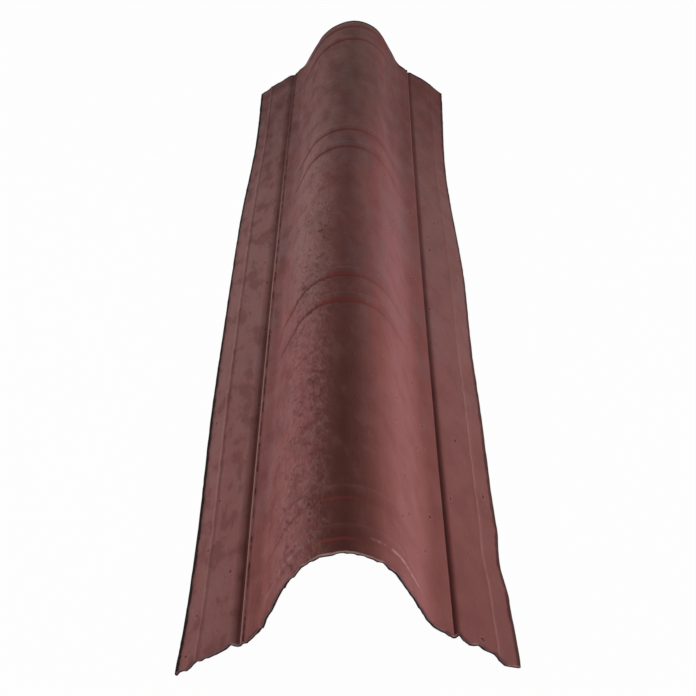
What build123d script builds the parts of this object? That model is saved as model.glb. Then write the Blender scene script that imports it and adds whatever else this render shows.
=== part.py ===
from build123d import *
import os
from math import asin, atan2, cos, degrees, hypot, radians, sin, sqrt, tan

# Ridge tile moulded in one piece from a sheet of bitumen-bound fibre: a round roll with a
# sloping wing on each side, a hinge groove between roll and wing, a steeper rim along each
# outer edge, and pairs of ribs pressed across the roll. It lies on the edges of its wings,
# with its length along Y, its crown up and the origin on the ground under its middle.
# Sizes are in millimetres and degrees. Widths are measured level, across the tile.

# Overall size
length = 1060.0
width = 194.0
height = 80.0  # ground to the crown, between the ribs
wall = 3.0

# Roll
roll_width = 97.0  # across the feet of the two flanks
flank_spread = 10.5  # how much further out each foot stands than the round of the crown
crown_radius = roll_width / 2 - flank_spread
foot_radius = 10.0
shelf_width = 11.7  # from the foot of the flank to the groove
shelf_angle = 32.0

# Hinge groove
groove_width = 4.4
groove_depth = 2.2  # below the top face of the wing, straight down
groove_wall_run = 0.9  # level run of the steep wall on the roll's side
groove_radius = 0.8
shelf_edge_radius = 1.2
wing_edge_radius = 7.0

# Wing and its rim
wing_angle = 30.0
rim_width = 12.0
rim_angle = 35.0
rim_bend_radius = 2.0

# Pressed ribs
pair_count = 4
rib_gap = 46.0  # between the two ribs of a pair, centre to centre
end_margin = 15.0  # from each end of the tile to its nearest rib, to the centre of the rib
rib_width = 18.0
rib_height = 1.6
rib_seat = 1.0  # how deep a rib's body reaches into the wall
rib_sink = 0.3  # how far the crest of a rib has dipped under the flank where the rib ends


def rise(run, angle):
    return run * tan(radians(angle))


# Half of the top outline, from the outer edge to the foot of the roll
edge = (width / 2, wall * cos(radians(rim_angle)))
bend = (edge[0] - rim_width, edge[1] + rise(rim_width, rim_angle))
shelf_edge_x = roll_width / 2 + shelf_width
wing_top_x = shelf_edge_x + groove_width
wing_top = (wing_top_x, bend[1] + rise(bend[0] - wing_top_x, wing_angle))
shelf_edge = (shelf_edge_x, wing_top[1] + rise(groove_width, wing_angle))
groove = (
    shelf_edge_x + groove_wall_run,
    shelf_edge[1] - rise(groove_wall_run, wing_angle) - groove_depth,
)
foot = (roll_width / 2, shelf_edge[1] + rise(shelf_width, shelf_angle))
half_outline = [edge, bend, wing_top, groove, shelf_edge, foot]
half_radii = [rim_bend_radius, wing_edge_radius, groove_radius, shelf_edge_radius, foot_radius]
crown_centre = (0.0, height - crown_radius)


def tangent_angle(point, radius):
    """Slope of the line from a point beside the roll to a circle about the crown's centre."""
    across = point[0] - crown_centre[0]
    up = point[1] - crown_centre[1]
    return degrees(asin(radius / hypot(across, up)) - atan2(up, across))


def apex(point, angle):
    """Where a line from a point beside the roll meets its mirror image, above the crown."""
    return (0.0, point[1] + rise(point[0], angle))


def mirrored(points):
    return [(-x, z) for x, z in reversed(points)]


def lowered(points, distance):
    """The same open outline, shifted square to its runs, down into the sheet."""
    normals = []
    for (x0, z0), (x1, z1) in zip(points, points[1:]):
        run = hypot(x1 - x0, z1 - z0)
        normals.append(((z0 - z1) / run, (x1 - x0) / run))
    shifted = []
    for i, (x, z) in enumerate(points):
        before = normals[max(i - 1, 0)]
        after = normals[min(i, len(normals) - 1)]
        scale = distance / (1 + before[0] * after[0] + before[1] * after[1])
        shifted.append((x + scale * (before[0] + after[0]), z + scale * (before[1] + after[1])))
    return shifted


def lowered_radii(points, radii, distance):
    """Corner radii of the shifted outline: a corner that stands up gets tighter, a hollow one wider."""
    changed = []
    for a, b, c, radius in zip(points, points[1:], points[2:], radii):
        stands_up = (b[0] - a[0]) * (c[1] - b[1]) - (b[1] - a[1]) * (c[0] - b[0]) > 0
        changed.append(max(radius - distance, 0.0) if stands_up else radius + distance)
    return changed


# The sheet
flank_angle = tangent_angle(foot, crown_radius)
top_outline = half_outline + [apex(foot, flank_angle)] + mirrored(half_outline)
top_radii = half_radii + [crown_radius] + half_radii[::-1]
under_outline = lowered(top_outline, wall)
under_radii = lowered_radii(top_outline, top_radii, wall)

with BuildPart() as sheet:
    with BuildSketch(Plane.XZ):
        with BuildLine():
            FilletPolyline(
                top_outline + under_outline[::-1],
                radius=[0.0] + top_radii + [0.0, 0.0] + under_radii[::-1] + [0.0],
                close=True,
            )
        make_face()
    extrude(amount=length / 2, both=True)

# One rib's body and the hollow under it. The crest of a rib stands proud of the crown, and
# its straight ends close in on the flanks until they run out just above the foot.
foot_tangent = foot_radius * tan(radians(flank_angle - shelf_angle) / 2)
flank_run = (cos(radians(flank_angle)), sin(radians(flank_angle)))
rib_end = (
    foot[0] - foot_tangent * flank_run[0] - rib_sink * flank_run[1],
    foot[1] + foot_tangent * flank_run[1] - rib_sink * flank_run[0],
)
rib_angle = tangent_angle(rib_end, crown_radius + rib_height)
crest = [rib_end, apex(rib_end, rib_angle), (-rib_end[0], rib_end[1])]
rib_radius = (rib_width**2 / 4 + rib_height**2) / (2 * rib_height)
hollow_radius = rib_radius - wall
hollow_width = 2 * sqrt(hollow_radius**2 - (hollow_radius - rib_height) ** 2)


def pressed_bead(crest_points, crest_radius, bead_width, skirt):
    """A round-backed bead swept along a crest over the roll, with straight sides under it."""
    with BuildPart() as bead:
        with BuildLine(Plane.XZ) as path:
            FilletPolyline(crest_points, radius=crest_radius)
        start = Plane(origin=path.line @ 0, x_dir=(0, -1, 0), z_dir=path.line % 0)
        with BuildSketch(start):
            with BuildLine():
                side = bead_width / 2
                back = ThreePointArc((-side, -rib_height), (0, 0), (side, -rib_height))
                bottom = -rib_height - skirt
                Polyline(back @ 1, (side, bottom), (-side, bottom), back @ 0)
            make_face()
        sweep(path=path.line)
    return bead.part


rib = pressed_bead(crest, crown_radius + rib_height, rib_width, rib_seat)
hollow = pressed_bead(lowered(crest, wall), crown_radius + rib_height - wall, hollow_width, wall)

# The tile
pair_centre = length / 2 - end_margin - rib_gap / 2
pair_spacing = 2 * pair_centre / (pair_count - 1)
rib_places = [
    (0, side * rib_gap / 2 - pair_centre + pair * pair_spacing, 0)
    for pair in range(pair_count)
    for side in (-1, 1)
]

with BuildPart() as ridge_tile:
    add(sheet.part)
    with Locations(*rib_places):
        add(rib)
    with Locations(*rib_places):
        add(hollow, mode=Mode.SUBTRACT)

ridge_tile.part.label = "ridge_tile"
os.makedirs("parts", exist_ok=True)
export_step(ridge_tile.part, "parts/ridge_tile.step")
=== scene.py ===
import bpy
import math
import random
from mathutils import Matrix, Vector


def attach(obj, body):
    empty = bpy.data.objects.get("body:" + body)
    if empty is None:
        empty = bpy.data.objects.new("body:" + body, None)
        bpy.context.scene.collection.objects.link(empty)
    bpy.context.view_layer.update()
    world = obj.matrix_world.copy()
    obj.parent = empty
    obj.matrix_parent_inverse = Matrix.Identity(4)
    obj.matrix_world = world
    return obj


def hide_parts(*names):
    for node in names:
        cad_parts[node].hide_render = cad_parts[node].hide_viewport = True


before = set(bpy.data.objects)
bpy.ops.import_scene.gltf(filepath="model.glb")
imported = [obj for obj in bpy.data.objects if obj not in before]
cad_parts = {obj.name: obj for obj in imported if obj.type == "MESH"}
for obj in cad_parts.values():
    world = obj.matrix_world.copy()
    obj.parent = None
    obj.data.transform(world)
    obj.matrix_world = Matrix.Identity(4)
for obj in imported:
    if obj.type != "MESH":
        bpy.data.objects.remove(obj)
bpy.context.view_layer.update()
mm = 0.001


# sRGB hex to linear
def hexColour(text):
    channels = [int(text[i:i + 2], 16) / 255 for i in (1, 3, 5)]
    linear = [c / 12.92 if c <= 0.04045 else ((c + 0.055) / 1.055) ** 2.4 for c in channels]
    return (*linear, 1.0)


def addNode(tree, kind, links=None, **settings):
    node = tree.nodes.new(kind)
    for name, value in settings.items():
        setattr(node, name, value)
    for key, value in (links or {}).items():
        if isinstance(key, int):
            socket = node.inputs[key]
        else:
            socket = next(s for s in node.inputs if s.name == key and s.enabled)
        if isinstance(value, bpy.types.NodeSocket):
            tree.links.new(value, socket)
        else:
            socket.default_value = value
    return node


# The tile in millimetres and degrees: the sizes of the moulded solid, then how this one has turned out
tile = {
    "length": 1060.0, "width": 194.0, "height": 80.0, "wall": 3.0,
    "crownRadius": 38.0, "rollWidth": 97.0, "footRadius": 10.0,
    "shelfWidth": 11.7, "shelfAngle": 32.0, "shelfEdgeRadius": 1.2,
    "grooveWidth": 4.4, "grooveDepth": 2.2, "grooveWallRun": 0.9, "grooveRadius": 0.8,
    "wingEdgeRadius": 7.0, "wingAngle": 30.0,
    "rimWidth": 12.0, "rimAngle": 35.0, "rimBendRadius": 2.0,
    "pairCount": 4, "ribGap": 46.0, "endMargin": 15.0, "ribWidth": 18.0, "ribHeight": 1.6,
    "ribRound": 1.3,       # past 1, a rib's feet run softly into the roll
    "leastRadius": 0.3,    # the tightest bend on the underside
    "edgeRound": 0.5,      # how far the cut edges bulge at mid thickness
    "pinch": 0.28, "pinchReach": 6.0,    # the cut ends are squeezed thinner
    "nearMore": 3.4,       # the near end was cut a little long
    "nearShift": 0.3, "farShift": 1.8, "bow": -1.95,  # how the tile lies off its centre line
    "farLean": 4.5, "leanReach": 477.0, "leanFrom": 30.6,  # the far end of the roll leans to the right
    "farReach": 371.0,     # how far in from the far end its own fine lines run
    "dentHeight": 0.5, "dentSize": 70.0, "dentStretch": 2.5,
    "rippleHeight": 0.2, "rippleSize": 16.0, "rippleStretch": 3.0,
    "nickDepth": 1.1, "nickSize": 16.0, "nickReach": 5.0,  # how uneven the long edges are
    "ragged": 0.9, "raggedStep": 2.2, "cutReach": 30.0,    # how uneven the two ends are
    "layers": 5,           # points through the wall
    "rowStep": 8.0, "leastStep": 0.45, "ribSteps": 16,     # rows of points along the tile and over a rib
    "nearRows": 7, "nearRowStep": 1.5, "farRows": 5, "farRowStep": 2.0,  # closer rows at the two ends
    "seed": 7,
}

# This tile's grooves differ a little: the left one has opened, the right one is pinched
leftGroove = {
    "shelfWidth": 9.7, "grooveWallRun": 1.5, "grooveWidth": 6.0, "wingEdgeRadius": 11.0,
    "shelfEdgeRadius": 0.8,
}
rightGroove = {
    "grooveWidth": 3.6, "grooveWallRun": 0.5, "wingEdgeRadius": 4.0, "grooveRadius": 0.6,
    "shelfEdgeRadius": 0.6, "footRadius": 26.0,
}

# Fine raised and sunk lines: the bend they run along, offset towards +X, reach each way, height
fineLines = [
    ("leftBend", 0.0, 1.2, 0.15), ("leftBend", 2.0, 1.2, -0.12), ("rightBend", 0.0, 1.2, 0.12),
    ("leftLip", 0.0, 1.1, 0.3), ("leftLip", 2.2, 1.4, -0.5),
]
# The same for the far part alone, where the roll is also a little fuller
farFineLines = [
    ("rightLip", 0.0, 1.0, 0.3), ("rightLip", -2.0, 1.4, -0.3),
    ("leftLip", 0.0, 1.1, -0.3), ("leftLip", 2.2, 1.4, 0.5),
    ("crown", 0.0, 60.0, 1.2), ("leftFoot", 22.0, 40.0, 1.2), ("rightFoot", -6.0, 34.0, 1.6),
]

# The near pair of ribs was pressed further in: up to which place along, how far
ribShifts = [(-492.0, 4.6), (-350.0, 2.6)]

# Bits broken out of the ends: place across from the crown, reach each way, depth
nearChips = [
    (-126.5, 4.0, 2.4), (-123.0, 6.0, -2.4), (-117.0, 3.0, 1.0), (-102.0, 15.0, -1.6),
    (-81.0, 13.0, -6.0), (-69.0, 3.5, -3.4), (-57.5, 3.5, -1.8), (-47.0, 11.0, 2.6),
    (-43.0, 2.5, -2.0), (-32.0, 5.0, -2.4), (-26.0, 3.0, 1.2), (-14.0, 10.0, 1.8), (2.0, 16.0, 1.4),
    (24.0, 4.0, 1.8), (35.0, 4.0, 1.4), (52.0, 14.0, 1.6), (74.0, 4.0, -1.4), (84.5, 4.0, -2.4),
    (90.5, 5.0, 4.5), (97.5, 2.0, -0.8), (104.0, 6.0, 3.0), (114.0, 5.0, 2.0), (120.0, 11.0, -4.8),
]
farChips = [
    (128.0, 24.0, 12.0), (-83.0, 5.0, 5.0), (-121.0, 5.0, 2.5), (-103.0, 6.0, 2.2),
]

# Where the wings' edges have been pushed in: place along, reach each way, depth
leftDents = [
    (365.0, 230.0, 3.3), (-400.0, 220.0, 2.2), (-530.0, 40.0, -0.8),
]
rightDents = [
    (270.0, 270.0, 4.7), (-140.0, 170.0, 1.6), (-330.0, 150.0, 1.7), (-425.0, 40.0, 2.2),
    (-520.0, 45.0, -1.0),
]

# What the mesh hands on to its material
meshNotes = (
    "across", "lipGap", "bendGap", "edgeGap", "endGap", "ribOffset", "ribGap", "ribShare", "skin",
    "sideEdge", "endEdge",
)


# Section of the sheet, worked out from its sizes as the mould maker would
def easedRun(start, finish, steps):
    shares = [0.5 - 0.5 * math.cos(math.pi * k / steps) for k in range(1, steps + 1)]
    return [tuple(Vector(start).lerp(Vector(finish), share)) for share in shares]


def roundedChain(corners, radii, runSteps, arcSteps):
    points, middles = [corners[0]], []
    for i in range(1, len(corners) - 1):
        here = Vector(corners[i])
        back = (Vector(corners[i - 1]) - here).normalized()
        on = (Vector(corners[i + 1]) - here).normalized()
        half = math.acos(max(-1.0, min(1.0, back.dot(on)))) / 2
        start = here + back * radii[i - 1] / math.tan(half)
        centre = here + (back + on).normalized() * radii[i - 1] / math.sin(half)
        finish = here + on * radii[i - 1] / math.tan(half)
        points += easedRun(points[-1], start, runSteps[i - 1])
        arm = start - centre
        sweep = arm.angle_signed(finish - centre)
        middles.append(len(points) - 1 + arcSteps[i - 1] // 2)
        for k in range(1, arcSteps[i - 1] + 1):
            turn = -sweep * k / arcSteps[i - 1]
            points.append((
                centre.x + arm.x * math.cos(turn) - arm.y * math.sin(turn),
                centre.y + arm.x * math.sin(turn) + arm.y * math.cos(turn),
            ))
    points += easedRun(points[-1], corners[-1], runSteps[-1])
    return points, middles


def sunkCorners(corners, depth):
    normals = []
    for a, b in zip(corners, corners[1:]):
        along = (Vector(b) - Vector(a)).normalized()
        normals.append(Vector((along.y, -along.x)))
    sunk = []
    for i, corner in enumerate(corners):
        before = normals[max(i - 1, 0)]
        after = normals[min(i, len(normals) - 1)]
        sunk.append(tuple(Vector(corner) + (before + after) * depth / (1 + before.dot(after))))
    return sunk


def sunkRadii(corners, radii, depth, least):
    changed = []
    for a, b, c, radius in zip(corners, corners[1:], corners[2:], radii):
        standsUp = (b[0] - a[0]) * (c[1] - b[1]) - (b[1] - a[1]) * (c[0] - b[0]) < 0
        changed.append(max(radius - depth, least) if standsUp else radius + depth)
    return changed


def rise(run, angle):
    return run * math.tan(math.radians(angle))


# right-hand half of the top face, from the foot of the roll to the outer edge
def halfCorners(size):
    edge = (size["width"] / 2, size["wall"] * math.cos(math.radians(size["rimAngle"])))
    bend = (edge[0] - size["rimWidth"], edge[1] + rise(size["rimWidth"], size["rimAngle"]))
    shelfX = size["rollWidth"] / 2 + size["shelfWidth"]
    wingX = shelfX + size["grooveWidth"]
    wingTop = (wingX, bend[1] + rise(bend[0] - wingX, size["wingAngle"]))
    shelfEdge = (shelfX, wingTop[1] + rise(size["grooveWidth"], size["wingAngle"]))
    floorX = shelfX + size["grooveWallRun"]
    floorDrop = rise(size["grooveWallRun"], size["wingAngle"]) + size["grooveDepth"]
    groove = (floorX, shelfEdge[1] - floorDrop)
    foot = (size["rollWidth"] / 2, shelfEdge[1] + rise(size["shelfWidth"], size["shelfAngle"]))
    return [foot, shelfEdge, groove, wingTop, bend, edge]


# the bends of a half from its foot outwards, and the points along each run and round each bend
halfRadii = ["footRadius", "shelfEdgeRadius", "grooveRadius", "wingEdgeRadius", "rimBendRadius"]
bendNames = ["Foot", "Lip", "Groove", "Wing", "Bend"]
halfRuns = [12, 9, 2, 3, 12, 8]
halfArcs, crownArcs = [5, 3, 3, 5, 4], 40


def tileSection(size):
    leftSize, rightSize = size | leftGroove, size | rightGroove
    left, right = halfCorners(leftSize), halfCorners(rightSize)
    foot = right[0]
    up = foot[1] - size["height"] + size["crownRadius"]
    flank = math.asin(size["crownRadius"] / math.hypot(foot[0], up)) - math.atan2(up, foot[0])
    apex = (0.0, foot[1] + foot[0] * math.tan(flank))
    corners = [(-x, z) for x, z in reversed(left)] + [apex] + right
    radii = [leftSize[n] for n in reversed(halfRadii)] + [size["crownRadius"]]
    radii += [rightSize[n] for n in halfRadii]
    names = ["left" + n for n in reversed(bendNames)] + ["crown"] + ["right" + n for n in bendNames]
    runs = halfRuns[::-1] + halfRuns
    arcs = halfArcs[::-1] + [crownArcs] + halfArcs
    top, middles = roundedChain(corners, radii, runs, arcs)
    sunk = sunkCorners(corners, size["wall"])
    underRadii = sunkRadii(corners, radii, size["wall"], size["leastRadius"])
    under, _ = roundedChain(sunk, underRadii, runs, arcs)
    # the ribs stand full on the crown and run out down the flanks, just above the foot
    tangentX = size["crownRadius"] * math.sin(flank)
    footTangent = size["footRadius"] * math.tan((flank - math.radians(size["shelfAngle"])) / 2)
    endX = foot[0] - footTangent * math.cos(flank)
    share = [max(0.0, min(1.0, (endX - abs(x)) / (endX - tangentX))) for x, z in top]
    share = [s * s if x > 0 else s for s, (x, z) in zip(share, top)]  # flatter on the right flank
    return top, under, share, dict(zip(names, middles))


# a smooth hump, 1 in its middle and 0 from its reach on
def bump(distance, reach):
    part = max(0.0, 1 - abs(distance) / reach)
    return part * part * (3 - 2 * part)


def guideMesh(name, points, vectors, floats):
    mesh = bpy.data.meshes.new(name)
    mesh.from_pydata(points, [], [])
    for label, values in vectors.items():
        layer = mesh.attributes.new(label, "FLOAT_VECTOR", "POINT")
        for item, value in zip(layer.data, values):
            item.vector = value
    for label, values in floats.items():
        layer = mesh.attributes.new(label, "FLOAT", "POINT")
        for item, value in zip(layer.data, values):
            item.value = value
    guide = bpy.data.objects.new(name, mesh)
    bpy.context.scene.collection.objects.link(guide)
    return guide


# uneven line along an end: random heights a step apart, joined by straight stretches
def unevenLine(draw, places, step, low, high):
    knots = [draw.uniform(low, high) for _ in range(int((places[-1] - places[0]) / step) + 2)]
    heights = []
    for place in places:
        spot = (place - places[0]) / step
        knot = int(spot)
        heights.append(knots[knot] + (knots[knot + 1] - knots[knot]) * (spot - knot))
    return heights


def sectionGuide(size):
    top, under, share, marks = tileSection(size)
    count = len(top)
    walked = [0.0]
    for a, b in zip(top, top[1:]):
        walked.append(walked[-1] + math.dist(a, b))
    across = [w - walked[marks["crown"]] for w in walked]
    at = {bend: across[mark] for bend, mark in marks.items()}
    leans = []
    for i in range(count):
        a, b = top[max(i - 1, 0)], top[min(i + 1, count - 1)]
        run = math.dist(a, b)
        leans.append((-(b[1] - a[1]) / run, 0.0, (b[0] - a[0]) / run))
    draw = random.Random(size["seed"])
    cuts = {}
    for label, chips, more in (("nearCut", nearChips, size["nearMore"]), ("farCut", farChips, 0.0)):
        uneven = unevenLine(draw, across, size["raggedStep"], 0.0, size["ragged"])
        cuts[label] = [
            (rough - more + sum(depth * bump(a - place, reach) for place, reach, depth in chips)) * mm
            for a, rough in zip(across, uneven)
        ]
    tears = unevenLine(draw, across, size["raggedStep"], -size["ragged"], size["ragged"])
    lines = {}
    for label, group in (("fineLine", fineLines), ("farFineLine", farFineLines)):
        lines[label] = [
            sum(high * bump(a - at[bend] - off, reach) for bend, off, reach, high in group) * mm
            for a in across
        ]
    wingX = abs(top[marks["leftWing"]][0])
    edgeShare = [max(0.0, (abs(x) - wingX) / (size["width"] / 2 - wingX)) for x, z in top]
    leanRise = size["height"] - size["leanFrom"]
    floats = {
        "ribShare": share,
        "across": [a * mm for a in across],
        "lipGap": [min(a - at["leftLip"], at["rightLip"] - a) * mm for a in across],
        "bendGap": [min(a - at["leftBend"], at["rightBend"] - a) * mm for a in across],
        "edgeGap": [min(a - across[0], across[-1] - a) * mm for a in across],
        "tear": [t * mm for t in tears],
        "leftShare": [e if x < 0 else 0.0 for e, (x, z) in zip(edgeShare, top)],
        "rightShare": [e if x > 0 else 0.0 for e, (x, z) in zip(edgeShare, top)],
        "rollShare": [max(0.0, z - size["leanFrom"]) / leanRise for x, z in top],
    }
    floats |= cuts | lines
    points = [(x * mm, 0, z * mm) for x, z in top + under]
    doubled = {label: values * 2 for label, values in floats.items()}
    return guideMesh("sectionGuide", points, {"lean": leans * 2}, doubled), count


def ribShift(y):
    return next((shift for limit, shift in ribShifts if y < limit), 0.0)


def rowGuide(size):
    half = size["length"] / 2
    pairCentre = half - size["endMargin"] - size["ribGap"] / 2
    spacing = 2 * pairCentre / (size["pairCount"] - 1)
    ribs = [
        side * size["ribGap"] / 2 - pairCentre + pair * spacing
        for pair in range(size["pairCount"])
        for side in (-1, 1)
    ]
    stations = {round(-half + k * size["nearRowStep"], 3) for k in range(size["nearRows"])}
    stations |= {round(half - k * size["farRowStep"], 3) for k in range(size["farRows"])}
    pastFoot = size["ribSteps"] // 2 + 1
    for rib in ribs:
        middle = rib + ribShift(rib)
        for k in range(-pastFoot, pastFoot + 1):
            stations.add(round(middle + k * size["ribWidth"] / size["ribSteps"], 3))
    ordered = sorted(s for s in stations if abs(s) <= half)
    rows = [ordered[0]]
    for y in ordered[1:]:
        gap = y - rows[-1]
        if gap < size["leastStep"]:
            continue
        fill = max(1, round(gap / size["rowStep"]))
        start = rows[-1]
        rows += [start + gap * k / fill for k in range(1, fill + 1)]
    points = [(0, y * mm, 0) for y in rows]
    floats = {"sideways": [], "leftIn": [], "rightIn": [], "rollLean": [], "farPart": [], "ribShift": []}
    for y in rows:
        part = (y + half) / size["length"]
        bow = size["bow"] * (1 - (y / half) ** 2)
        lie = size["nearShift"] * (1 - part) + size["farShift"] * part + bow
        leftIn = sum(depth * bump(y - place, reach) for place, reach, depth in leftDents)
        rightIn = sum(depth * bump(y - place, reach) for place, reach, depth in rightDents)
        floats["sideways"].append(lie * mm)
        floats["leftIn"].append(leftIn * mm)
        floats["rightIn"].append(-rightIn * mm)
        floats["rollLean"].append(size["farLean"] * bump(y - half, size["leanReach"]) * mm)
        floats["farPart"].append(bump(y - half, size["farReach"]))
        floats["ribShift"].append(ribShift(y) * mm)
    return guideMesh("rowGuide", points, {}, floats), len(rows), spacing


# A slab of columns and rows, bent to the section and the rows of the two guides
def ridgeTileTree():
    tree = bpy.data.node_groups.new("ridgeTileForm", "GeometryNodeTree")
    face = tree.interface
    face.new_socket("Geometry", in_out="OUTPUT", socket_type="NodeSocketGeometry")
    for kind, names in (
        ("Object", ("Section", "Rows")),
        ("Int", ("Columns", "Row Count", "Layers")),
        ("Float", (
            "Length", "Pair Spacing", "Rib Gap", "Rib Width", "Rib Height", "Rib Round",
            "Dent Height", "Dent Size", "Dent Stretch",
            "Ripple Height", "Ripple Size", "Ripple Stretch",
            "Nick Depth", "Nick Size", "Nick Reach", "Cut Reach",
            "Edge Round", "Pinch", "Pinch Reach", "Seed",
        )),
        ("Material", ("Material",)),
    ):
        for name in names:
            face.new_socket(name, in_out="INPUT", socket_type="NodeSocket" + kind)
    part = {socket.name: socket for socket in addNode(tree, "NodeGroupInput").outputs if socket.name}
    slab = addNode(tree, "GeometryNodeMeshCube", {
        "Size": (1, 1, 1), "Vertices X": part["Columns"], "Vertices Y": part["Row Count"],
        "Vertices Z": part["Layers"],
    }).outputs["Mesh"]

    # which column and row of the slab a point belongs to
    slabPoint = addNode(tree, "GeometryNodeInputPosition").outputs[0]
    split = addNode(tree, "ShaderNodeSeparateXYZ", {0: slabPoint}).outputs
    part |= {"slabX": split[0], "slabY": split[1], "slabZ": split[2]}
    for label, place, total in (("column", "slabX", "Columns"), ("row", "slabY", "Row Count")):
        last = addNode(tree, "ShaderNodeMath", {0: part[total], 1: 1.0}, operation="SUBTRACT").outputs[0]
        share = addNode(tree, "ShaderNodeMath", {0: part[place], 1: 0.5}, operation="ADD").outputs[0]
        spot = addNode(tree, "ShaderNodeMath", {0: share, 1: last}, operation="MULTIPLY").outputs[0]
        part[label] = addNode(tree, "FunctionNodeFloatToInt", {0: spot}, rounding_mode="ROUND").outputs[0]
    part["underColumn"] = addNode(tree, "ShaderNodeMath", {
        0: part["column"], 1: part["Columns"],
    }, operation="ADD").outputs[0]

    # what the two guides hold for that column and row
    section = addNode(tree, "GeometryNodeObjectInfo", {"Object": part["Section"]}).outputs["Geometry"]
    rows = addNode(tree, "GeometryNodeObjectInfo", {"Object": part["Rows"]}).outputs["Geometry"]
    reads = [
        ("top", section, "FLOAT_VECTOR", "column"), ("under", section, "FLOAT_VECTOR", "underColumn"),
        ("station", rows, "FLOAT_VECTOR", "row"), ("lean", section, "FLOAT_VECTOR", "column"),
    ]
    for label in (
        "ribShare", "across", "lipGap", "bendGap", "edgeGap", "nearCut", "farCut", "tear", "fineLine",
        "farFineLine", "leftShare", "rightShare", "rollShare",
    ):
        reads.append((label, section, "FLOAT", "column"))
    for label in ("sideways", "leftIn", "rightIn", "rollLean", "farPart", "ribShift"):
        reads.append((label, rows, "FLOAT", "row"))
    for label, source, kind, index in reads:
        value = slabPoint
        if label not in ("top", "under", "station"):
            held = addNode(tree, "GeometryNodeInputNamedAttribute", {"Name": label}, data_type=kind)
            value = held.outputs[0]
        sample = addNode(tree, "GeometryNodeSampleIndex", {
            "Geometry": source, "Value": value, "Index": part[index],
        }, data_type=kind, domain="POINT")
        part[label] = next(s for s in sample.outputs if s.enabled)
    part["along"] = addNode(tree, "ShaderNodeSeparateXYZ", {0: part["station"]}).outputs[1]

    # first sums, in order: name, operation, terms
    for label, operation, *terms in (
        # pairs of ribs repeat along the length; the offset from a rib is towards the far end
        ("halfGap", "MULTIPLY", "Rib Gap", 0.5), ("halfRib", "MULTIPLY", "Rib Width", 0.5),
        ("halfPitch", "MULTIPLY", "Pair Spacing", 0.5), ("backPitch", "MULTIPLY", "halfPitch", -1.0),
        ("ribAlong", "SUBTRACT", "along", "ribShift"), ("shifted", "ADD", "ribAlong", "halfPitch"),
        ("fromPair", "WRAP", "shifted", "halfPitch", "backPitch"), ("pairSide", "SIGN", "fromPair"),
        ("ribPlace", "MULTIPLY", "pairSide", "halfGap"),
        ("ribOffset", "SUBTRACT", "fromPair", "ribPlace"), ("ribGap", "ABSOLUTE", "ribOffset"),
        ("ratio", "DIVIDE", "ribOffset", "halfRib"),
        ("square", "MULTIPLY", "ratio", "ratio"), ("hump", "SUBTRACT", 1.0, "square"),
        ("hump", "MAXIMUM", "hump", 0.0), ("hump", "POWER", "hump", "Rib Round"),
        ("ribRise", "MULTIPLY", "hump", "Rib Height"), ("lift", "MULTIPLY", "ribRise", "ribShare"),
        # fine lines along the bends, some of them in the far part only
        ("lift", "ADD", "lift", "fineLine"), ("lift", "MULTIPLY_ADD", "farFineLine", "farPart", "lift"),
        ("dentScale", "DIVIDE", 1.0, "Dent Size"), ("rippleScale", "DIVIDE", 1.0, "Ripple Size"),
        ("nickScale", "DIVIDE", 1.0, "Nick Size"),
        # broken ends, where the underside tears unevenly
        ("skin", "ADD", "slabZ", 0.5), ("underPart", "SUBTRACT", 1.0, "skin"),
        ("torn", "MULTIPLY", "underPart", "tear"),
        ("nearDepth", "ADD", "nearCut", "torn"), ("farDepth", "ADD", "farCut", "torn"),
        ("halfLength", "MULTIPLY", "Length", 0.5), ("fromNear", "ADD", "halfLength", "along"),
        ("fromFar", "SUBTRACT", "halfLength", "along"), ("endGap", "MINIMUM", "fromNear", "fromFar"),
        # the cut edges bulge at mid thickness; the slab runs from -0.5 to 0.5 each way
        ("square", "MULTIPLY", "slabZ", "slabZ"), ("bulge", "MULTIPLY_ADD", "square", -4.0, 1.0),
        ("inside", "GREATER_THAN", "bulge", 0.2),
        ("farX", "ABSOLUTE", "slabX"), ("onSide", "GREATER_THAN", "farX", 0.4999),
        ("farY", "ABSOLUTE", "slabY"), ("onEnd", "GREATER_THAN", "farY", 0.4999),
        ("wayX", "SIGN", "slabX"), ("wayX", "MULTIPLY", "onSide", "wayX"),
        ("wayY", "SIGN", "slabY"), ("wayY", "MULTIPLY", "onEnd", "wayY"),
        ("push", "MULTIPLY", "bulge", "Edge Round"),
        ("sideEdge", "MULTIPLY", "onSide", "inside"), ("notSide", "SUBTRACT", 1.0, "sideEdge"),
        ("endEdge", "MULTIPLY", "onEnd", "inside"), ("endEdge", "MULTIPLY", "endEdge", "notSide"),
    ):
        links = {i: part.get(term, term) for i, term in enumerate(terms)}
        part[label] = addNode(tree, "ShaderNodeMath", links, operation=operation).outputs[0]

    # how the cuts, the nicks and the squeeze fall off: measured by, from, to, least, most
    for label, source, start, full, least, most in (
        ("nearFall", "fromNear", 0.0, "Cut Reach", 1.0, 0.0),
        ("farFall", "fromFar", 0.0, "Cut Reach", -1.0, 0.0),
        ("nearEdge", "edgeGap", "Nick Reach", 0.0, 0.0, 1.0),
        ("squeeze", "endGap", "Pinch Reach", 0.0, 0.0, "Pinch"),
    ):
        part[label] = addNode(tree, "ShaderNodeMapRange", {
            "Value": part[source], "From Min": part.get(start, start), "From Max": part.get(full, full),
            "To Min": least, "To Max": part.get(most, most),
        }).outputs[0]

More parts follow.
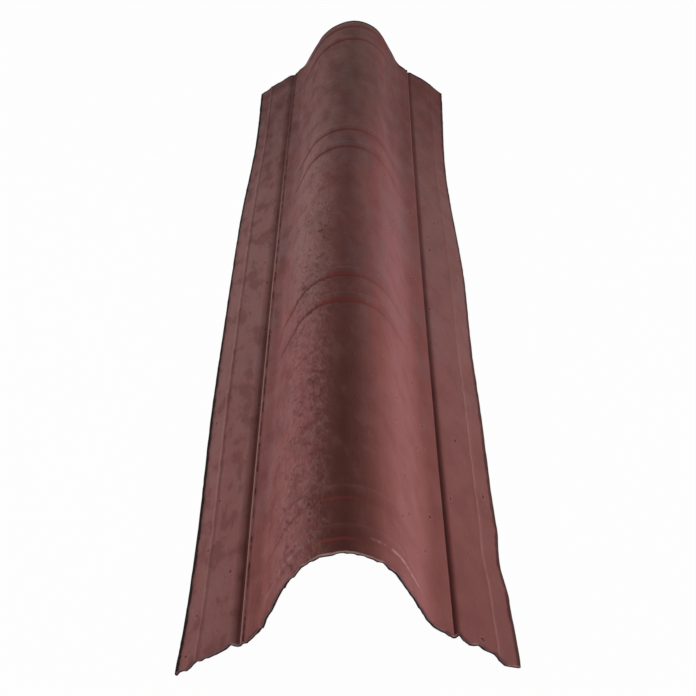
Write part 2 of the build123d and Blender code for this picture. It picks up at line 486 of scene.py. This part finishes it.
    # shallow dents and ripples, the same through the thickness, and nicks along the two long edges
    sheetPoint = addNode(tree, "ShaderNodeCombineXYZ", {0: part["across"], 1: part["along"]}).outputs[0]
    for label, stretch, detail, roughness in (
        ("dent", "Dent Stretch", 1.0, 0.5), ("ripple", "Ripple Stretch", 1.0, 0.5),
        ("nick", 1.0, 3.0, 0.7),
    ):
        longer = addNode(tree, "ShaderNodeCombineXYZ", {0: 1.0, 1: part.get(stretch, stretch), 2: 1.0})
        spot = addNode(tree, "ShaderNodeVectorMath", {
            0: sheetPoint, 1: longer.outputs[0],
        }, operation="DIVIDE").outputs[0]
        part[label] = addNode(tree, "ShaderNodeTexNoise", {
            "Vector": spot, "W": part["Seed"], "Scale": part[label + "Scale"],
            "Detail": detail, "Roughness": roughness,
        }, noise_dimensions="4D").outputs[0]

    # last sums: how far a point is raised, moved along, nicked and pushed aside
    for label, operation, *terms in (
        ("dent", "SUBTRACT", "dent", 0.5), ("dent", "MULTIPLY", "dent", "Dent Height"),
        ("lift", "ADD", "lift", "dent"),
        ("ripple", "SUBTRACT", "ripple", 0.5), ("ripple", "MULTIPLY", "ripple", "Ripple Height"),
        ("lift", "ADD", "lift", "ripple"),
        ("moved", "MULTIPLY_ADD", "nearFall", "nearDepth", "along"),
        ("moved", "MULTIPLY_ADD", "farFall", "farDepth", "moved"),
        ("outY", "MULTIPLY_ADD", "wayY", "push", "moved"),
        ("nick", "SUBTRACT", "nick", 0.5), ("nick", "MULTIPLY", "nick", "nearEdge"),
        ("outX", "MULTIPLY_ADD", "wayX", "push", "sideways"),
        ("outX", "MULTIPLY_ADD", "nick", "Nick Depth", "outX"),
        ("outX", "MULTIPLY_ADD", "leftShare", "leftIn", "outX"),
        ("outX", "MULTIPLY_ADD", "rightShare", "rightIn", "outX"),
        ("outX", "MULTIPLY_ADD", "rollShare", "rollLean", "outX"),
        ("sheetPart", "MULTIPLY_ADD", "underPart", "squeeze", "skin"),
    ):
        links = {i: part.get(term, term) for i, term in enumerate(terms)}
        part[label] = addNode(tree, "ShaderNodeMath", links, operation=operation).outputs[0]

    # put it together, with the underside drawn up where an end is squeezed
    sheet = addNode(tree, "ShaderNodeMix", {
        "Factor": part["sheetPart"], "A": part["under"], "B": part["top"],
    }, data_type="VECTOR")
    sheetOut = next(s for s in sheet.outputs if s.enabled)
    raised = addNode(tree, "ShaderNodeVectorMath", {
        0: part["lean"], "Scale": part["lift"],
    }, operation="SCALE").outputs[0]
    body = addNode(tree, "ShaderNodeVectorMath", {0: sheetOut, 1: raised}, operation="ADD").outputs[0]
    shift = addNode(tree, "ShaderNodeCombineXYZ", {0: part["outX"], 1: part["outY"]}).outputs[0]
    spot = addNode(tree, "ShaderNodeVectorMath", {0: body, 1: shift}, operation="ADD").outputs[0]

    # keep what the material reads, before the points move
    mesh = slab
    for label in meshNotes:
        mesh = addNode(tree, "GeometryNodeStoreNamedAttribute", {
            "Geometry": mesh, "Name": label, "Value": part[label],
        }, data_type="FLOAT", domain="POINT").outputs[0]
    formed = addNode(tree, "GeometryNodeSetPosition", {"Geometry": mesh, "Position": spot}).outputs[0]
    smooth = addNode(tree, "GeometryNodeSetShadeSmooth", {
        "Geometry": formed, "Shade Smooth": True,
    }).outputs[0]
    whole = addNode(tree, "GeometryNodeRealizeInstances", {"Geometry": smooth}).outputs[0]
    coated = addNode(tree, "GeometryNodeSetMaterial", {
        "Geometry": whole, "Material": part["Material"],
    }).outputs[0]
    addNode(tree, "NodeGroupOutput", {"Geometry": coated})
    return tree


def makeRidgeTile(size, material):
    section, columns = sectionGuide(size)
    rows, rowCount, spacing = rowGuide(size)
    tree = ridgeTileTree()
    holder = bpy.data.objects.new("tileForm", bpy.data.meshes.new("tileForm"))
    bpy.context.scene.collection.objects.link(holder)
    form = holder.modifiers.new("form", "NODES")
    form.node_group = tree
    values = {
        "Section": section, "Rows": rows, "Columns": columns, "Row Count": rowCount,
        "Layers": size["layers"], "Pair Spacing": spacing * mm, "Rib Round": size["ribRound"],
        "Dent Stretch": size["dentStretch"], "Ripple Stretch": size["rippleStretch"],
        "Pinch": size["pinch"], "Seed": float(size["seed"]), "Material": material,
    }
    for name in (
        "Length", "Rib Gap", "Rib Width", "Rib Height", "Dent Height", "Dent Size", "Ripple Height",
        "Ripple Size", "Nick Depth", "Nick Size", "Nick Reach", "Cut Reach", "Edge Round", "Pinch Reach",
    ):
        key = name[0].lower() + name[1:].replace(" ", "")  # Rib Gap is ribGap
        values[name] = size[key] * mm
    for socket in tree.interface.items_tree:
        if socket.in_out == "INPUT":
            form[socket.identifier] = values[socket.name]
    depsgraph = bpy.context.evaluated_depsgraph_get()
    mesh = bpy.data.meshes.new_from_object(holder.evaluated_get(depsgraph))
    mesh.name = "ridgeTile"
    holder.modifiers.remove(form)
    for extra in (holder, section, rows):
        bpy.data.objects.remove(extra)
    piece = bpy.data.objects.new("ridgeTile", mesh)
    bpy.context.scene.collection.objects.link(piece)
    print("ridge tile:", columns, "columns,", rowCount, "rows,", len(mesh.polygons), "faces")
    return piece


# Bitumen-bound fibre, pressed wet between moulds and dip coated: a dull skin, brown-red where the coat is
# thick and mauve-grey where it is thin, with pinholes and a crusty shoulder, and painted light:
# painted shade in the creases, the grooves and on the crown, painted highlights on the lips and rims,
# painted sheen on the flanks
coat = {
    # the coat, thick and thin, with the painted sheen of the flanks, the painted highlight of the ribs,
    # the painted shade of the crown and the painted glare of the far crown
    "red": "#804d4a", "grey": "#785757", "dark": "#5a3836", "pale": "#8d6562", "deepRed": "#6e2c2b",
    "glow": "#9b4642", "flank": "#a26a71", "misty": "#92716e", "wingGrey": "#7c605e", "back": "#553a36",
    "crown": "#553127", "crownEnd": "#683c37", "glareBrown": "#72544e", "crust": "#86655e",
    # wear and pits, the painted highlights of the lips, rims and last rib, and the painted shade of the
    # rib feet, creases and grooves
    "wearAndHighlight": "#96706a", "nearRibHighlight": "#a57c78", "russet": "#512521", "pit": "#62292a", "creaseShade": "#40201b",
    "grooveShadeDark": "#28140f",
    # cut edges, with a painted highlight and painted shade on the cut ends
    "edge": "#1a100e", "core": "#85646a", "endDark": "#352425", "endPale": "#c09a93",
    # patterns in mm, across and along
    "patchMm": (20.0, 90.0), "blotchMm": (14.0, 36.0), "streakMm": (3.0, 70.0), "wearMm": (6.0, 14.0),
    "crustMm": (5.0, 14.0), "pebbleMm": (4.5, 11.0), "markMm": (5.0, 13.0),
    # the real fibres and grit are a few tenths of a mm, too fine to show, so they are drawn coarser
    "grainMm": (1.3, 2.6), "gritMm": (2.2, 5.5), "fleckMm": 0.7, "fleckCellMm": 16.0,
    # other spots, and the cells they lie in; the cells are uneven and drawn out along the tile
    "pitMm": 1.3, "pitCellMm": 27.0, "pockMm": 1.2, "pockCellMm": 9.0,
    "pimpleMm": 1.5, "pimpleCellMm": 11.0, "swayMm": (2.5, 5.0), "cellStretch": 0.6,
    "roughness": (0.52, 0.72),  # of the smoothest and the roughest blotches
    "specular": 0.012,          # weathered and dusty, it hardly shines
    "reliefMm": 0.6,
}


def bitumenFibre(look, size):
    material = bpy.data.materials.new("mouldedBitumenFibre")
    material.use_nodes = True
    tree = material.node_tree
    shader = tree.nodes["Principled BSDF"]
    shader.inputs["Specular IOR Level"].default_value = look["specular"]
    part = {}
    for label in meshNotes:
        part[label] = addNode(tree, "ShaderNodeAttribute", attribute_name=label).outputs["Fac"]
    point = addNode(tree, "ShaderNodeTexCoord").outputs["Object"]
    part["along"] = addNode(tree, "ShaderNodeSeparateXYZ", {0: point}).outputs[1]
    # the sheet laid flat, so that a pattern runs along it and round its bends
    flat = addNode(tree, "ShaderNodeCombineXYZ", {
        0: part["across"], 1: part["along"], 2: part["skin"],
    }).outputs[0]

    # noises: detail, slant, and how far aside; the last is the one before it, laid a little aside
    for label, detail, slant, aside in (
        ("patch", 4.0, 0.0, 0.0), ("streak", 3.0, 0.0, 0.0), ("grain", 2.0, 0.0, 0.0),
        ("grit", 1.0, 0.0, 0.0), ("wear", 2.0, 0.0, 0.0), ("blotch", 3.0, -0.1, 0.0),
        ("crust", 4.0, -0.2, 0.0), ("pebble", 2.0, -0.2, 0.0), ("mark", 1.5, -0.4, 0.0),
        ("markLee", 1.5, -0.4, 0.35),
    ):
        wide, long = look[label.removesuffix("Lee") + "Mm"]
        turned = addNode(tree, "ShaderNodeVectorRotate", {
            "Vector": flat, "Angle": slant,
        }, rotation_type="Z_AXIS").outputs[0]
        spread = addNode(tree, "ShaderNodeMapping", {
            "Vector": turned, "Scale": (1 / (wide * mm), 1 / (long * mm), 1.0),
            "Location": (aside, aside, 0.0),
        }).outputs[0]
        part[label] = addNode(tree, "ShaderNodeTexNoise", {
            "Vector": spread, "Scale": 1.0, "Detail": detail, "Roughness": 0.6,
        }).outputs[0]

    # uneven spots in some of the cells: pinholes with a pale rim, pocks, flecks of fibre, pimples
    sway = addNode(tree, "ShaderNodeCombineXYZ", {0: part["grain"], 1: part["pebble"]}).outputs[0]
    swayX, swayY = look["swayMm"]
    uneven = addNode(tree, "ShaderNodeVectorMath", {
        0: sway, 1: (swayX * mm, swayY * mm, 0.0), 2: flat,
    }, operation="MULTIPLY_ADD").outputs[0]
    rings = {"": (1.0, 0.4, 0.9), "Rim": (2.0, 1.1, 0.35)}  # outside and inside in radii, most
    for label, keep, ringNames in (
        ("pit", 0.45, ("", "Rim")), ("pock", 0.84, ("", "Rim")), ("fleck", 0.65, ("",)),
        ("pimple", 0.5, ("",)),
    ):
        radius, cell = look[label + "Mm"], look[label + "CellMm"]
        spread = addNode(tree, "ShaderNodeMapping", {
            "Vector": uneven, "Scale": (1 / (cell * mm), look["cellStretch"] / (cell * mm), 1.0),
        }).outputs[0]
        cells = addNode(tree, "ShaderNodeTexVoronoi", {
            "Vector": spread, "Scale": 1.0,
        }, voronoi_dimensions="2D").outputs
        lot = addNode(tree, "ShaderNodeSeparateColor", {0: cells["Color"]}).outputs[0]
        chosen = addNode(tree, "ShaderNodeMath", {0: lot, 1: keep}, operation="GREATER_THAN").outputs[0]
        for ring in ringNames:
            outer, inner, most = rings[ring]
            near = addNode(tree, "ShaderNodeMapRange", {
                "Value": cells["Distance"],
                "From Min": outer * radius / cell, "From Max": inner * radius / cell, "To Max": most,
            }, interpolation_type="SMOOTHSTEP").outputs[0]
            part[label + ring] = addNode(tree, "ShaderNodeMath", {
                0: near, 1: chosen,
            }, operation="MULTIPLY").outputs[0]

    # places in mm: what they are measured by, where they start and are full, least and most
    foot = size["ribWidth"] / 2
    for label, source, start, full, least, most in (
        # across the tile, from the crown towards +X
        ("left", "across", 20.0, -20.0, 0.0, 1.0), ("right", "across", -20.0, 20.0, 0.0, 1.0),
        ("rough", "across", 25.0, -15.0, 0.4, 1.0), ("ribSide", "across", 10.0, -25.0, 0.3, 1.0),
        ("highlightSide", "across", -20.0, 20.0, 0.5, 1.0), ("edgeSide", "across", 20.0, -20.0, 0.65, 1.0),
        ("shoulder", "across", -4.0, -16.0, 0.0, 1.0),
        ("shoulderFoot", "across", -60.0, -42.0, 0.0, 1.0),
        # along it, from the middle towards the far end
        ("shoulderFar", "along", 250.0, -50.0, 0.15, 1.0), ("weather", "along", 250.0, -450.0, 0.0, 1.0),
        ("nearHalf", "along", 60.0, -160.0, 0.0, 1.0), ("nearEnd", "along", -100.0, -520.0, 0.0, 1.0),
        ("farHalf", "along", 100.0, 350.0, 0.0, 1.0), ("notFar", "along", 420.0, 200.0, 0.0, 1.0),
        # these fade the painted groove shade towards the far end
        ("grooveShadeFade", "along", 150.0, -320.0, 0.1, 1.0), ("leftDirty", "along", 450.0, -350.0, 0.4, 1.0),
        # the far top and far glow are painted light on the far crown: a greyer glare, and a paler
        # highlight at the very end
        ("farCrownGlare", "along", 50.0, 350.0, 0.0, 0.7), ("farGlow", "along", 380.0, 500.0, 0.0, 0.6),
        # the far wing band is painted shade over the wings of the far part
        ("farLip", "along", 100.0, 350.0, 0.0, 0.35), ("farWing", "along", 150.0, 480.0, 0.0, 0.35),
        ("wingRed", "along", -100.0, -450.0, 0.0, 0.22), ("rimPart", "along", -420.0, -330.0, 0.5, 1.0),
        ("nearPairs", "along", 40.0, -40.0, 0.0, 0.7), ("farPairs", "along", -330.0, -250.0, 0.0, 1.0),
        ("lastRib", "along", -484.0, -492.0, 0.0, 1.0), ("otherPairs", "along", -500.0, -440.0, 0.0, 1.0),
        # from the middle of the nearest rib
        # the near slope of each rib on the crown is painted redder where the front light falls, with a
        # painted highlight near its foot
        ("ribNear", "ribOffset", -2.5, -foot, 0.0, 0.55),
        ("ribStart", "ribOffset", -foot - 0.5, -foot, 0.0, 1.0),
        ("atRib", "ribGap", foot + 3.0, foot + 2.0, 0.0, 1.0),
        # inwards from the lip of the nearest groove
        # the groove wall and floor place the painted shade in the grooves
        ("grooveWall", "lipGap", -0.4, -1.0, 0.0, 1.0), ("leftWall", "lipGap", -0.9, -1.8, 0.0, 1.0),
        ("grooveFloor", "lipGap", -4.6, -2.0, 0.0, 0.85), ("leftDirt", "lipGap", -5.8, -3.0, 0.0, 0.88),
        ("leftSoft", "lipGap", -10.0, -2.0, 0.0, 0.4), ("shelfShade", "lipGap", 6.5, 1.5, 0.0, 0.16),
        ("inside", "lipGap", 0.3, 1.0, 0.0, 1.0), ("wing", "lipGap", -1.0, -4.0, 0.0, 1.0),
        # the wing band is painted light, lightening the wings
        ("wingPale", "lipGap", -3.0, -9.0, 0.0, 0.4),
        # inwards from the rims' bends, the long edges and the ends
        ("rimSide", "bendGap", 0.0, -3.0, 0.0, 0.25), ("edgeSoft", "edgeGap", 6.0, 1.0, 0.0, 0.45),
        ("farEnd", "endGap", 6.5, 3.2, 0.0, 0.95),
    ):
        part[label] = addNode(tree, "ShaderNodeMapRange", {
            "Value": part[source], "From Min": start * mm, "From Max": full * mm,
            "To Min": least, "To Max": most,
        }).outputs[0]

    # the left half is greyer and the near end redder, and the line along each rim wanders
    for label, source, amount, base in (
        ("greyLevel", "across", -0.7, "patch"), ("greyLevel", "nearEnd", -0.28, "greyLevel"),
        ("rimPlace", "wear", 3.0 * mm, "bendGap"), ("edgePlace", "wear", -3.2 * mm, "edgeGap"),
        ("edgePlace", "nearHalf", -1.0 * mm, "edgePlace"),
        ("edgePlace", "farHalf", -1.2 * mm, "edgePlace"), ("endSkin", "wear", -0.5, "skin"),
        ("markSlope", "markLee", -1.0, "mark"),
    ):
        part[label] = addNode(tree, "ShaderNodeMath", {
            0: part[source], 1: amount, 2: part[base],
        }, operation="MULTIPLY_ADD").outputs[0]

    # lines and bands in mm: where their middle lies, their reach each way, the most they show
    fullPart = 0.3  # of the reach
    for label, source, middle, reach, most in (
        # bands across the tile and along it
        ("onTop", "across", 0.0, 32.0, 1.0), ("endTop", "across", -2.0, 36.0, 1.0),
        # the crown band is painted shade along the crown, less dark at the near end
        ("glowTop", "across", -4.0, 17.0, 1.0), ("crownShade", "across", 1.0, 24.0, 0.72),
        # the far shelf band is painted shade on the right shelf of the far part
        ("flankBand", "across", -34.0, 32.0, 1.0), ("farShelf", "across", 64.0, 24.0, 0.35),
        # the flank bands are painted sheen: the flanks paler and pinker, the left flank misty along its
        # middle
        ("flankRight", "across", 52.0, 24.0, 0.22), ("flankLeft", "across", -38.0, 24.0, 0.15),
        # the two bands along the middle of the wings are painted light: paler on the left, greyer on the
        # right
        ("leftMid", "along", 110.0, 330.0, 0.5), ("wingMid", "along", 110.0, 330.0, 0.18),
        # the far dimming is painted shade over the far part
        ("flankMid", "along", 110.0, 330.0, 0.4), ("farDim", "along", 290.0, 140.0, 0.22),
        # lines along the ribs' feet, the grooves, the rims and the far end
        # the line at the near foot of each rib is painted shade in its crease
        ("footLine", "ribOffset", -foot, 3.2, 0.66), ("farLine", "ribOffset", foot, 1.2, 0.4),
        # the line up the last rib on the flanks is a painted highlight, broken up by the wear pattern
        ("nearLine", "ribOffset", -foot / 2, 1.5, 0.9), ("ribGlow", "ribOffset", 1.2 - foot, 1.6, 0.7),
        # the lip lines are painted highlights on the steep wall beside each groove
        ("lip", "lipGap", -0.5, 2.0, 0.75), ("valley", "lipGap", 1.3, 0.8, 0.9),
        ("farCrease", "lipGap", -0.2, 2.2, 0.7), ("rimHighlight", "rimPlace", 1.5, 0.9, 0.5),
        ("rimShade", "rimPlace", 2.8, 1.6, 0.42), ("leftRimHighlight", "rimPlace", 0.6, 1.0, 0.4),
        # the far pale band is a painted highlight across the top near the far end
        ("farCrestHighlight", "endGap", 10.0, 5.0, 0.7),
    ):
        off = addNode(tree, "ShaderNodeMath", {
            0: part[source], 1: middle * mm,
        }, operation="SUBTRACT").outputs[0]
        gap = addNode(tree, "ShaderNodeMath", {0: off}, operation="ABSOLUTE").outputs[0]
        part[label] = addNode(tree, "ShaderNodeMapRange", {
            "Value": gap, "From Min": reach * mm, "From Max": fullPart * reach * mm, "To Max": most,
        }).outputs[0]

    # shares of noises and of the section: where they start and are full, and the most they show
    for label, source, start, full, most in (
        ("greyShare", "greyLevel", 0.36, 0.68, 0.95), ("wearAndHighlight", "wear", 0.4, 0.58, 1.0),
        ("dark", "blotch", 0.52, 0.6, 0.3), ("light", "blotch", 0.46, 0.38, 0.2),
        ("wingDark", "blotch", 0.48, 0.64, 0.16), ("wingLight", "blotch", 0.5, 0.36, 0.2),
        ("darkStreak", "streak", 0.42, 0.3, 0.1), ("paleStreak", "streak", 0.56, 0.74, 0.1),
        ("gritDark", "grit", 0.52, 0.68, 0.24), ("gritPale", "grit", 0.46, 0.34, 0.18),
        # the mark shares paint shade and highlight on opposite sides of each raised mark
        ("markShade", "markSlope", 0.07, 0.22, 0.85), ("markHighlight", "markSlope", -0.07, -0.22, 0.65),
        ("crustLow", "crust", 0.46, 0.38, 0.3), ("crustTop", "crust", 0.5, 0.6, 0.4),
        ("grainDark", "grain", 0.5, 0.75, 0.16), ("edgeLine", "edgePlace", 0.8 * mm, -0.6 * mm, 0.97),
        ("onRoll", "ribShare", 0.02, 0.25, 1.0), ("offTop", "onTop", 0.9, 0.2, 1.0),
        ("under", "skin", 0.2, 0.02, 1.0), ("endLow", "endSkin", 0.3, 0.18, 1.0),
        ("endLine", "skin", 0.3, 0.5, 0.7), ("endBrow", "skin", 0.85, 0.65, 1.0),
    ):
        part[label] = addNode(tree, "ShaderNodeMapRange", {
            "Value": part[source], "From Min": start, "From Max": full, "To Max": most,
        }).outputs[0]

    # where each of them shows, in order, because some are made from others
    for label, factors in (
        # grooves
        ("farBead", ("lip", "right", "farLip")), ("lip", ("left", "notFar")),
        ("valley", ("left", "wearAndHighlight")), ("groove", ("right", "grooveWall", "grooveFloor", "grooveShadeFade")),
        # painted shade in and beside the left groove, and in the dip behind its lip
        ("leftDirt", ("left", "leftWall", "leftDirty")), ("leftSoft", ("left", "leftWall", "leftDirty")),
        ("farCrease", ("left", "farHalf")), ("shelfShade", ("left", "inside")),
        # wings and flanks
        ("wingMid", ("wing", "right")), ("leftMid", ("wing", "left")), ("wingRed", ("wing", "right")),
        ("wingDark", ("wing", "left")), ("wingLight", ("wing", "left")), ("wingPale", ("notFar",)),
        ("farWing", ("wing",)), ("farShelf", ("farHalf",)), ("flankMid", ("flankBand",)),
        ("flankRight", ("notFar",)), ("flankLeft", ("notFar",)), ("farDim", ("inside",)),
        ("dark", ("rough",)), ("light", ("rough",)), ("pimple", ("rough",)),
        ("paleStreak", ("rough", "notFar")), ("darkStreak", ("rough", "notFar")),
        # crown and ribs
        ("crownShade", ("weather",)), ("crownNearShade", ("crownShade", "nearEnd")), ("farCrownGlare", ("onTop",)),
        ("farGlow", ("onTop",)), ("pit", ("offTop",)), ("pitRim", ("offTop",)), ("fleck", ("offTop",)),
        ("footLine", ("atRib", "onRoll", "otherPairs", "ribSide")), ("farLine", ("atRib", "onTop")),
        ("ribRed", ("atRib", "ribNear", "ribStart", "onTop", "farPairs")),
        ("ribGlow", ("atRib", "ribStart", "glowTop", "nearPairs")),
        ("nearLine", ("atRib", "lastRib", "onRoll", "offTop", "wearAndHighlight", "highlightSide")),
        # rims, edges and ends
        # the rim lines paint the lit and shaded sides of the beads along the rims; the rim side and soft
        # edge are painted shade on the outer strips
        ("rimHighlight", ("right", "nearHalf")), ("rimShade", ("left", "rimPart")),
        ("leftRimHighlight", ("left", "rimPart")), ("rimSide", ("right", "nearEnd")), ("edgeSoft", ("left",)),
        ("edgeLine", ("edgeSide",)), ("farEnd", ("farHalf",)), ("farCrestHighlight", ("farHalf", "onTop")),
        # the pale top of the cut faces is their paler fibre with painted light on it; their dark lower
        # part is painted shade
        ("endTop", ("endEdge",)), ("endLow", ("endEdge",)), ("endLine", ("endEdge", "endBrow", "wearAndHighlight")),
        # crusty left shoulder
        ("crustZone", ("shoulder", "shoulderFoot", "shoulderFar")),
        ("crustTop", ("crustZone",)), ("crustLow", ("crustZone",)), ("gritDark", ("crustZone",)),
        ("gritPale", ("crustZone",)), ("markShade", ("crustZone", "wearAndHighlight")),
        ("markHighlight", ("crustZone", "wearAndHighlight")), ("gritHigh", ("grit", "crustZone")),
        ("pebbleHigh", ("pebble", "crustZone")), ("pock", ("crustZone",)), ("pockRim", ("crustZone",)),
    ):
        shown = part.get(label, 1.0)
        for factor in factors:
            shown = addNode(tree, "ShaderNodeMath", {
                0: shown, 1: part[factor],
            }, operation="MULTIPLY").outputs[0]
        part[label] = shown

    # coats, one over the other
    colour = hexColour(look["red"])
    for label, shade in (
        # grey patches, then painted light over the flanks, wings, crown and far part: painted sheen on
        # the flanks, painted light and shade on the wings, painted shade on the crown, painted glare and
        # dimming over the far part
        ("greyShare", "grey"), ("flankRight", "flank"), ("flankLeft", "flank"), ("wingPale", "pale"),
        ("leftMid", "pale"), ("wingMid", "wingGrey"), ("wingRed", "deepRed"), ("flankMid", "misty"),
        ("farWing", "dark"), ("farShelf", "dark"), ("crownShade", "crown"), ("crownNearShade", "crownEnd"),
        ("farDim", "dark"), ("farCrownGlare", "glareBrown"), ("farGlow", "pale"),
        # blotches, streaks and grain, then the crust of the left shoulder, with painted shade and
        # highlight beside its marks
        ("dark", "dark"), ("light", "pale"), ("wingDark", "dark"), ("wingLight", "wingGrey"),
        ("paleStreak", "pale"), ("darkStreak", "dark"), ("grainDark", "dark"),
        ("crustTop", "crust"), ("crustLow", "dark"), ("gritDark", "dark"), ("gritPale", "crust"),
        ("markShade", "dark"), ("markHighlight", "crust"), ("pockRim", "crust"), ("pock", "dark"),
        # flecks, the ribs' painted light and painted shade, and pinholes
        ("fleck", "pale"), ("ribRed", "deepRed"), ("ribGlow", "glow"), ("farLine", "dark"),
        ("pitRim", "pale"), ("pit", "pit"), ("footLine", "russet"), ("nearLine", "nearRibHighlight"),
        # painted shade in the grooves and creases, and painted highlights on their lips
        ("shelfShade", "dark"), ("lip", "wearAndHighlight"), ("farBead", "wearAndHighlight"), ("valley", "creaseShade"),
        ("leftSoft", "creaseShade"), ("leftDirt", "creaseShade"), ("farCrease", "creaseShade"), ("groove", "grooveShadeDark"),
        # rims and edges with painted highlights and painted shade, the underside, and the cut faces with
        # painted light and painted shade
        ("rimHighlight", "wearAndHighlight"), ("rimShade", "dark"), ("leftRimHighlight", "wearAndHighlight"), ("farCrestHighlight", "wearAndHighlight"),
        ("edgeSoft", "dark"), ("rimSide", "dark"), ("edgeLine", "edge"), ("farEnd", "edge"),
        ("under", "back"), ("endEdge", "core"), ("endLine", "wearAndHighlight"), ("endTop", "endPale"),
        ("endLow", "endDark"), ("sideEdge", "edge"),
    ):
        layer = addNode(tree, "ShaderNodeMix", {
            "Factor": part[label], "A": colour, "B": hexColour(look[shade]),
        }, data_type="RGBA")
        colour = next(s for s in layer.outputs if s.enabled)
    tree.links.new(colour, shader.inputs["Base Color"])

    # relief: how far each pattern stands up, as a share of the full relief
    height = 0.0
    for label, share in (
        ("pebbleHigh", 1.0), ("gritHigh", -0.9), ("pebble", 0.12), ("crustTop", 0.5), ("grain", 0.03),
        ("streak", 0.04), ("pimple", 0.35), ("fleck", 0.15), ("pit", -0.2), ("pock", -0.6),
    ):
        height = addNode(tree, "ShaderNodeMath", {
            0: part[label], 1: share, 2: height,
        }, operation="MULTIPLY_ADD").outputs[0]
    relief = addNode(tree, "ShaderNodeBump", {
        "Height": height, "Distance": look["reliefMm"] * mm, "Strength": 1.0,
    }).outputs[0]
    tree.links.new(relief, shader.inputs["Normal"])
    smoothest, roughest = look["roughness"]
    gloss = addNode(tree, "ShaderNodeMapRange", {
        "Value": part["blotch"], "From Min": 0.3, "From Max": 0.7,
        "To Min": smoothest, "To Max": roughest,
    }).outputs[0]
    tree.links.new(gloss, shader.inputs["Roughness"])
    print("bitumen fibre:", len(tree.nodes), "nodes")
    return material


ridgeTile = makeRidgeTile(tile, bitumenFibre(coat, tile))
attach(ridgeTile, "root")
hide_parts("ridge_tile")

# Floor and world, pale and plain; the lamps and the world's own low level light the tile
studio = {"floorSide": 12.0, "floorColour": "#dcdcdc", "floorWhite": 0.98, "worldLevel": 0.24}


# 1 for what the camera sees, also in a reflection or through glass, 0 for the light on the tile
def seenRay(tree):
    path = addNode(tree, "ShaderNodeLightPath").outputs
    seen = path["Is Camera Ray"]
    for kind in ("Is Glossy Ray", "Is Transmission Ray"):
        seen = addNode(tree, "ShaderNodeMath", {0: seen, 1: path[kind]}, operation="MAXIMUM").outputs[0]
    return seen


def makeFloor(setup):
    mesh = bpy.data.meshes.new("floor")
    half = setup["floorSide"] / 2
    corners = [(-half, -half, 0), (half, -half, 0), (half, half, 0), (-half, half, 0)]
    mesh.from_pydata(corners, [], [(0, 1, 2, 3)])
    floor = bpy.data.objects.new("floor", mesh)
    bpy.context.scene.collection.objects.link(floor)
    material = bpy.data.materials.new("paleFloor")
    material.use_nodes = True
    tree = material.node_tree
    tree.nodes.clear()
    plain = addNode(tree, "ShaderNodeBsdfDiffuse", {"Color": hexColour(setup["floorColour"])})
    glow = addNode(tree, "ShaderNodeEmission", {"Color": (1, 1, 1, 1), "Strength": 1.0})
    part = addNode(tree, "ShaderNodeMath", {
        0: seenRay(tree), 1: setup["floorWhite"],
    }, operation="MULTIPLY")
    mix = addNode(tree, "ShaderNodeMixShader", {
        0: part.outputs[0], 1: plain.outputs[0], 2: glow.outputs[0],
    })
    addNode(tree, "ShaderNodeOutputMaterial", {"Surface": mix.outputs[0]})
    mesh.materials.append(material)
    return floor


makeFloor(studio)


def makeWorld(setup):
    world = bpy.data.worlds.new("studio")
    bpy.context.scene.world = world
    world.use_nodes = True
    tree = world.node_tree
    tree.nodes.clear()
    level = addNode(tree, "ShaderNodeMapRange", {
        "Value": seenRay(tree), "To Min": setup["worldLevel"], "To Max": 1.0,
    })
    sky = addNode(tree, "ShaderNodeBackground", {"Color": (1, 1, 1, 1), "Strength": level.outputs[0]})
    addNode(tree, "ShaderNodeOutputWorld", {"Surface": sky.outputs[0]})


makeWorld(studio)
print("floor and world set")

# Soft boxes in metres: place, aim, width, height, watts
softBoxes = {
    "leftStrip": ((-1.2, -0.4, 0.13), (0.0, -0.4, 0.05), 0.7, 0.2, 9.0),
    "rightStrip": ((1.2, -0.45, 0.07), (0.0, -0.45, 0.05), 0.6, 0.12, 12.2),
    "topBox": ((0.0, 0.05, 1.1), (0.0, 0.05, 0.05), 0.5, 0.9, 1.65),
    "backBox": ((-0.8, 1.3, 0.6), (0.0, 0.4, 0.05), 0.8, 0.5, 0.6),
    "frontFill": ((0.1, -1.9, 0.3), (0.0, -0.4, 0.05), 1.2, 0.5, 2.5),
}
for name, (place, aim, wide, high, watts) in softBoxes.items():
    lamp = bpy.data.lights.new(name, "AREA")
    lamp.shape = "RECTANGLE"
    lamp.size, lamp.size_y, lamp.energy = wide, high, watts
    holder = bpy.data.objects.new(name, lamp)
    bpy.context.scene.collection.objects.link(holder)
    holder.location = place
    holder.rotation_euler = (Vector(aim) - Vector(place)).to_track_quat("-Z", "Y").to_euler()
print("lights set")

# Camera, at the photograph's angle: place in metres, turns in degrees, lens and sensor in mm
view = {
    "place": (0.0177, -1.4073, 0.6183), "pitch": 25.41, "yaw": -0.78, "roll": 1.52,
    "lens": 96.83, "sensor": 36.0,
}


def makeCamera(setup):
    pitch, yaw, roll = (math.radians(setup[k]) for k in ("pitch", "yaw", "roll"))
    ahead = Vector((math.sin(yaw) * math.cos(pitch), math.cos(yaw) * math.cos(pitch), -math.sin(pitch)))
    level = Vector((math.cos(yaw), -math.sin(yaw), 0.0))
    down = ahead.cross(level)
    right = level * math.cos(roll) + down * math.sin(roll)
    up = level * math.sin(roll) - down * math.cos(roll)
    camera = bpy.data.objects.new("camera", bpy.data.cameras.new("camera"))
    camera.data.lens = setup["lens"]
    camera.data.sensor_width = setup["sensor"]
    turn = Matrix((right, up, -ahead)).transposed()
    camera.matrix_world = Matrix.Translation(Vector(setup["place"])) @ turn.to_4x4()
    bpy.context.scene.collection.objects.link(camera)
    bpy.context.scene.camera = camera


makeCamera(view)
bpy.context.scene.view_settings.view_transform = "Standard"
print("camera set")
